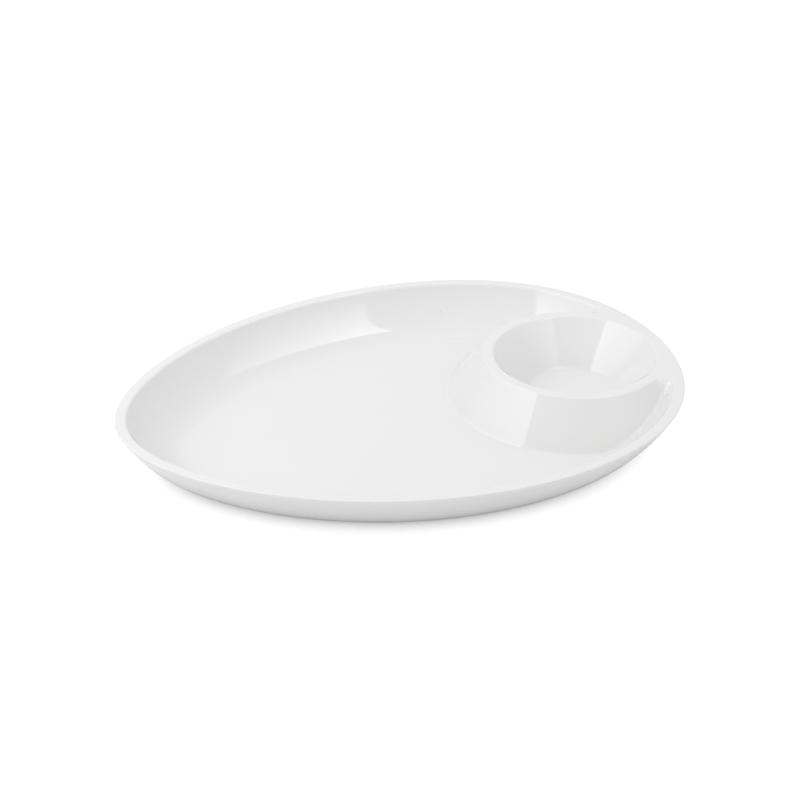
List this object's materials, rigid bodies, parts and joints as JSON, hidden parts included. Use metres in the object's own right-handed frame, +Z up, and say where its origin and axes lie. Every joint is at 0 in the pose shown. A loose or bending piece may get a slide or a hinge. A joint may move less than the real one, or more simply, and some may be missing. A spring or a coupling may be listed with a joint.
{
  "type": "chip and dip server",
  "caption": "Egg-shaped, flat-rimmed serving tray with a hollow cone at its blunt end that carries a round dip bowl, in white melamine with a glossy food side.",
  "frame": {"origin": "under the middle of the egg outline's length and breadth, on the surface that the foot ring stands on", "axes": "+X along the egg's axis from the sharp end to the blunt end with the dip bowl, +Z up through the open side"},
  "size_m": [0.38, 0.2942, 0.035],
  "materials": {
    "body": "white melamine with a satin moulded skin",
    "glaze": "high-gloss melamine glaze over white"
  },
  "bodies": {
    "root": {"body_moulding": "body", "glaze_overlay": "glaze"}
  },
  "joints": []
}
